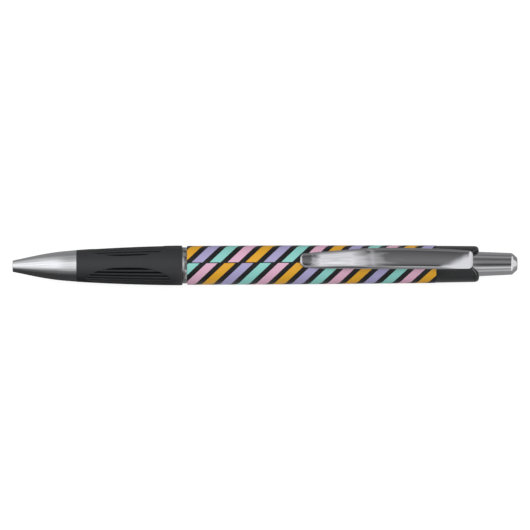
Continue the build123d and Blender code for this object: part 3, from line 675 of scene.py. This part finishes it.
def grey_ramp(tree, share, greys):
    """A ramp of neutral greys, from (share, brightness) pairs."""
    ramp = add_node(tree, "ShaderNodeValToRGB", {"Fac": share})
    stops = ramp.color_ramp.elements
    stops[0].color, stops[1].color = grey(greys[0][1]), grey(greys[-1][1])
    for place, brightness in greys[1:-1]:
        stops.new(place).color = grey(brightness)
    return ramp.outputs["Color"]


def card_ramp(tree, angle_share, cards):
    """The brightness of the cards by their angle."""
    greys = [((angle + 180) / 360, brightness) for angle, brightness in cards]
    return grey_ramp(tree, angle_share, greys)


studio = bpy.data.worlds.new("studio")
bpy.context.scene.world = studio
studio.use_nodes = True
studio.cycles.sampling_method = "NONE"
tree = studio.node_tree
sky = add_node(tree, "ShaderNodeTexCoord").outputs["Generated"]
leaned = add_node(tree, "ShaderNodeMapping", {
    "Vector": sky, "Rotation": (radians(CAMERA_ELEVATION - 90), 0, 0)}).outputs["Vector"]
parts = add_node(tree, "ShaderNodeSeparateXYZ", {"Vector": leaned}).outputs
turn = maths(tree, "ARCTAN2", parts["Y"], parts["Z"])
angle_share = maths(tree, "ADD", maths(tree, "DIVIDE", turn, 2 * pi), 0.5)
# the white cards over the pen and over its nose, the one wrinkled and the other with a bright slit
over_pen = card_ramp(tree, angle_share, CARDS_OVER_PEN)
over_nose = card_ramp(tree, angle_share, CARDS_OVER_NOSE)
waves = add_node(tree, "ShaderNodeTexNoise", {"Vector": leaned, "Scale": 6, "Detail": 1})
waves = waves.outputs["Fac"]
folds = between(tree, waves, 0.72, 1.2)
over_nose = add_node(tree, "ShaderNodeVectorMath", {0: over_nose, 1: folds},
                     operation="MULTIPLY").outputs[0]
slit = maths(tree, "COMPARE", parts["X"], SLIT_PLACE, SLIT_HALF_WIDTH)
over_pen = mixed(tree, maths(tree, "MULTIPLY", slit, 0.5), over_pen, grey(SLIT_BRIGHTNESS))
# the nose's cards pass into the pen's along an uneven line, and a far card lights the button's end
sunk = maths(tree, "MULTIPLY_ADD", parts["Y"], 0.08, between(tree, waves, -0.1, 0.09))
to_nose = add_node(tree, "ShaderNodeMapRange", {
    "Value": maths(tree, "ADD", parts["X"], sunk),
    "From Min": NOSE_CARDS_FROM, "From Max": NOSE_CARDS_TO,
}).outputs["Result"]
lifted = maths(tree, "MULTIPLY", parts["Y"], -0.1)
to_button = add_node(tree, "ShaderNodeMapRange", {
    "Value": maths(tree, "ADD", parts["X"], lifted),
    "From Min": BUTTON_CARD_FROM, "From Max": BUTTON_CARD_TO,
}).outputs["Result"]
cards = mixed(tree, to_nose, over_pen, over_nose)
far_card = add_node(tree, "ShaderNodeMapRange", {
    "Value": parts["X"], "From Min": FAR_CARD_START, "From Max": FAR_CARD_END,
    "To Min": FAR_CARD_NEAR, "To Max": FAR_CARD_FAR,
}).outputs["Result"]
cards = mixed(tree, to_button, cards, far_card)
# the soft dome lights the rubber, the film and the plastics, mostly from above
from_above = maths(tree, "MULTIPLY_ADD", parts["Z"], DOME_ABOVE, DOME_ROUND)
dome = maths(tree, "MULTIPLY_ADD", parts["Y"], DOME_BEHIND, from_above)
dome = maths(tree, "MAXIMUM", dome, 0)
path = add_node(tree, "ShaderNodeLightPath").outputs
light = mixed(tree, path["Is Glossy Ray"], dome, cards)
light = mixed(tree, path["Is Camera Ray"], light, PAPER_WHITE)
tree.links.new(light, tree.nodes["Background"].inputs["Color"])


# ---- shooting table ----
# A sheet of cast white acrylic, lit from below where it is seen, and dim in what metal mirrors.

TABLE_HALF_SIZE = 3
# the mirrored brightness near the camera, by the share of the way along the table's graded part
TABLE_NEAR = ((0, 0.06), (0.11, 0.1), (0.14, 0.6), (0.3, 0.34), (0.43, 0.34), (1, 1.1))
GRADED_START, GRADED_END = -0.06, 0.24
TABLE_BEHIND = 0.34              # and behind the pen

floor_form = bmesh.new()
bmesh.ops.create_grid(floor_form, x_segments=1, y_segments=1, size=TABLE_HALF_SIZE)
floor_mesh = bpy.data.meshes.new("table_top")
floor_form.to_mesh(floor_mesh)
floor_form.free()
floor = bpy.data.objects.new("table_top", floor_mesh)
bpy.context.scene.collection.objects.link(floor)
acrylic, tree, shader = new_finish("lit_white_acrylic", "#8a8a8b", Roughness=0.6)
shader.inputs["Emission Color"].default_value = (1, 1, 1, 1)
shader.inputs["Emission Strength"].default_value = 0.85
place = add_node(tree, "ShaderNodeTexCoord").outputs["Object"]
sides = add_node(tree, "ShaderNodeSeparateXYZ", {"Vector": place}).outputs
share = add_node(tree, "ShaderNodeMapRange", {
    "Value": sides["X"], "From Min": GRADED_START, "From Max": GRADED_END}).outputs["Result"]
behind = add_node(tree, "ShaderNodeMapRange", {
    "Value": sides["Y"], "From Min": -0.002, "From Max": 0.004}).outputs["Result"]
seen = mixed(tree, behind, grey_ramp(tree, share, TABLE_NEAR), grey(TABLE_BEHIND))
dimmed = add_node(tree, "ShaderNodeEmission", {"Color": seen})
path = add_node(tree, "ShaderNodeLightPath").outputs
choice = add_node(tree, "ShaderNodeMixShader", {
    0: path["Is Camera Ray"], 1: dimmed.outputs[0], 2: shader.outputs[0]})
tree.links.new(choice.outputs[0], tree.nodes["Material Output"].inputs["Surface"])
floor_mesh.materials.append(acrylic)


# ---- camera ----
# It has a long lens, so that the pen is seen nearly without perspective.

CAMERA_ROLL = 0.27
LENS, SENSOR = 600, 36
VIEW_WIDTH = 149.1               # millimetres across the view, at the pen

lens = bpy.data.cameras.new("camera")
lens.lens, lens.sensor_width = LENS, SENSOR
camera = bpy.data.objects.new("camera", lens)
bpy.context.scene.collection.objects.link(camera)
bpy.context.scene.camera = camera
rise = radians(CAMERA_ELEVATION)
back = Vector((0, -cos(rise), sin(rise)))
camera.location = Vector((0, 0, AXIS_HEIGHT)) + back * (VIEW_WIDTH * MM * LENS / SENSOR)
camera.rotation_euler = (pi / 2 - rise, 0, 0)
camera.rotation_euler.rotate_axis("Z", -radians(CAMERA_ROLL))
bpy.context.scene.view_settings.view_transform = "Standard"
